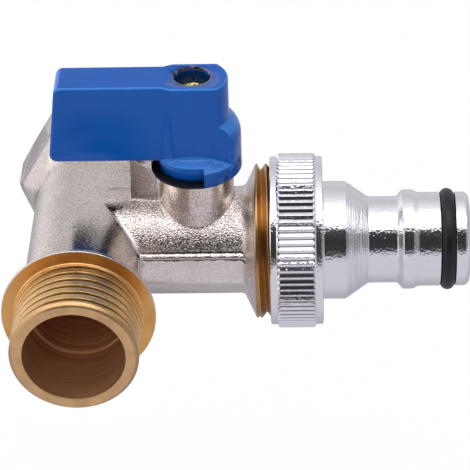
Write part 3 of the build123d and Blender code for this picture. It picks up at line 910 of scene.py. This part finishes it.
knurl = bpy.data.node_groups.new("straight_knurl", "GeometryNodeTree")
knurl.interface.new_socket("Geometry", in_out="OUTPUT", socket_type="NodeSocketGeometry")
knurl_inputs = {}
for name, kind in (
    ("Teeth", "NodeSocketInt"),
    ("Tooth", "NodeSocketObject"),
    ("Finish", "NodeSocketMaterial"),
):
    knurl_inputs[name] = knurl.interface.new_socket(name, in_out="INPUT", socket_type=kind).identifier
given = knurl.nodes.new("NodeGroupInput").outputs
marks = joined(knurl, "GeometryNodePoints", [("Count", given["Teeth"])])
count = knurl.nodes.new("GeometryNodeInputIndex").outputs[0]
turn = sums(knurl, "MULTIPLY", sums(knurl, "DIVIDE", count, given["Teeth"]), 2 * math.pi)
spin = joined(knurl, "ShaderNodeCombineXYZ", [("X", turn)])
shape = joined(knurl, "GeometryNodeObjectInfo", [("Object", given["Tooth"])])
copies = joined(
    knurl,
    "GeometryNodeInstanceOnPoints",
    [("Points", marks.outputs[0]), ("Instance", shape.outputs["Geometry"]), ("Rotation", spin.outputs[0])],
)
real = joined(knurl, "GeometryNodeRealizeInstances", [("Geometry", copies.outputs[0])])
coat = [("Geometry", real.outputs[0]), ("Material", given["Finish"])]
coated = joined(knurl, "GeometryNodeSetMaterial", coat)
joined(knurl, "NodeGroupOutput", [("Geometry", coated.outputs[0])])

adapter_knurl = placed("adapter_knurl", bpy.data.meshes.new("adapter_knurl"))
roll = adapter_knurl.modifiers.new("knurl", "NODES")
roll.node_group = knurl
roll[knurl_inputs["Teeth"]] = tooth_count
roll[knurl_inputs["Tooth"]] = tooth
roll[knurl_inputs["Finish"]] = chrome
settled(adapter_knurl)
bpy.data.objects.remove(tooth)

hose_adapter = assembled(
    "hose_adapter_chromed", [adapter_turning, adapter_knurl], Matrix.Translation((0, outlet_at, 0))
)
shaded(hose_adapter, 32)
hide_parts("hose_adapter")
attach(hose_adapter, "valve")

# Adapter gasket and nose O-ring
# A flat rubber washer seals the collar against the outlet end; the black O-ring in the nose
# groove seals in the hose coupling.
dressed("adapter_gasket", rubber)
dressed("nose_o_ring", rubber)

# Studio
# A pale floor well below the part, soft white surroundings with the darker camera side of
# the room, one soft light from the front, and the camera at the photographed angle. The part
# mirrors a dimmer floor than the camera sees, lightest far to the left.
scene = bpy.context.scene
scene.view_settings.view_transform = "Standard"

floor_mesh = bpy.data.meshes.new("studio_floor")
floor_half = 1.6
floor_level = -0.075
floor_mesh.from_pydata(
    [
        (-floor_half, -floor_half, floor_level),
        (floor_half, -floor_half, floor_level),
        (floor_half, floor_half, floor_level),
        (-floor_half, floor_half, floor_level),
    ],
    [],
    [(0, 1, 2, 3)],
)
floor = placed("studio_floor", floor_mesh)
pale, tree, shader, place = finish("studio_floor_pale")
tree.nodes.remove(shader)
paper = joined(tree, "ShaderNodeBsdfDiffuse", [("Color", (0.80, 0.79, 0.81, 1))])
bright = joined(tree, "ShaderNodeEmission", [("Color", (1, 1, 1, 1)), ("Strength", 1.0)])
x, y, z = axes(tree, place)
# Painted shadow: the floor the part mirrors is darker under and behind the part.
under = band(tree, y, (-10 * mm, 45 * mm), (100 * mm, 400 * mm))
floor_shadowed = blend(tree, under, (0.585, 0.57, 0.635), (0.36, 0.35, 0.39))
lit = blend(tree, spread(tree, x, -200 * mm, -100 * mm, 1, 0), floor_shadowed, (0.90, 0.885, 0.925))
mirrored = joined(tree, "ShaderNodeEmission", [("Color", lit), ("Strength", 1.0)])
path = tree.nodes.new("ShaderNodeLightPath").outputs
seen = sums(tree, "MULTIPLY", path["Is Camera Ray"], 0.95)
reflected = sums(tree, "MAXIMUM", path["Is Glossy Ray"], path["Is Transmission Ray"])
glint = sums(tree, "MULTIPLY", reflected, 0.8)
first = joined(tree, "ShaderNodeMixShader", [(0, seen), (1, paper.outputs[0]), (2, bright.outputs[0])])
second = joined(tree, "ShaderNodeMixShader", [(0, glint), (1, first.outputs[0]), (2, mirrored.outputs[0])])
tree.links.new(second.outputs[0], tree.nodes["Material Output"].inputs["Surface"])
floor_mesh.materials.append(pale)

world = bpy.data.worlds.new("studio_room")
world.use_nodes = True
scene.world = world
tree = world.node_tree
sky = tree.nodes["Background"]
path = tree.nodes.new("ShaderNodeLightPath").outputs
heading = axes(tree, tree.nodes.new("ShaderNodeTexCoord").outputs["Generated"])
height = sums(tree, "ARCTAN2", heading["Z"], sums(tree, "MULTIPLY", heading["Y"], -1.0))
round_share = sums(tree, "ADD", sums(tree, "DIVIDE", height, 2 * math.pi), 0.5)
walls = joined(tree, "ShaderNodeValToRGB", [("Fac", round_share)])
wall_stops = [
    (-8, 0.60),
    (5, 0.045),
    (34, 0.035),
    (57, 0.08),
    (62, 2.40),
    (97, 2.40),
    (108, 1.08),
    (124, 0.86),
    (142, 0.68),
    (158, 0.62),
    (180, 0.74),
]
while len(walls.color_ramp.elements) < len(wall_stops):
    walls.color_ramp.elements.new(1.0)
for stop, (degrees, level) in zip(walls.color_ramp.elements, wall_stops):
    stop.position = degrees / 360 + 0.5
    stop.color = (level, level * 0.985, level * 1.03, 1)
to_left = spread(tree, heading["X"], -0.85, -0.45, 1, 0)
to_right = spread(tree, heading["X"], 0.45, 0.85, 0, 1)
room = blend(tree, to_left, walls.outputs["Color"], (1.27, 1.25, 1.30))
room = blend(tree, to_right, room, (0.46, 0.455, 0.48))
tree.links.new(blend(tree, path["Is Camera Ray"], room, (1, 1, 1)), sky.inputs["Color"])
sky.inputs["Strength"].default_value = 1.0

fill_light = bpy.data.lights.new("front_fill", "AREA")
fill_light.shape = "RECTANGLE"
fill_light.size = 0.7
fill_light.size_y = 0.5
fill_light.energy = 2.2
fill = placed("front_fill", fill_light)
fill.location = (-0.15, -0.75, 0.55)
fill.rotation_euler = (Vector((0.02, 0.02, 0.0)) - fill.location).to_track_quat("-Z", "Y").to_euler()
fill.visible_glossy = False

azimuth = math.radians(1.94)
elevation = math.radians(33.521)
roll_angle = math.radians(1.706)
aim = Vector((25.276 * mm, 21.746 * mm, 1.169 * mm))
distance = 0.42653
right = Vector((math.cos(azimuth), math.sin(azimuth), 0))
back = Vector(
    (math.sin(azimuth) * math.cos(elevation), -math.cos(azimuth) * math.cos(elevation), math.sin(elevation))
)
up = back.cross(right)
across = math.cos(roll_angle) * right - math.sin(roll_angle) * up
upward = math.sin(roll_angle) * right + math.cos(roll_angle) * up
stand = aim + distance * back
lens = bpy.data.cameras.new("camera")
lens.sensor_fit = "HORIZONTAL"
lens.sensor_width = 36.0
lens.lens = 191.82
lens.clip_start = 0.01
lens.clip_end = 20.0
camera = placed("camera", lens)
camera.matrix_world = Matrix(
    (
        (across.x, upward.x, back.x, stand.x),
        (across.y, upward.y, back.y, stand.y),
        (across.z, upward.z, back.z, stand.z),
        (0, 0, 0, 1),
    )
)
scene.camera = camera
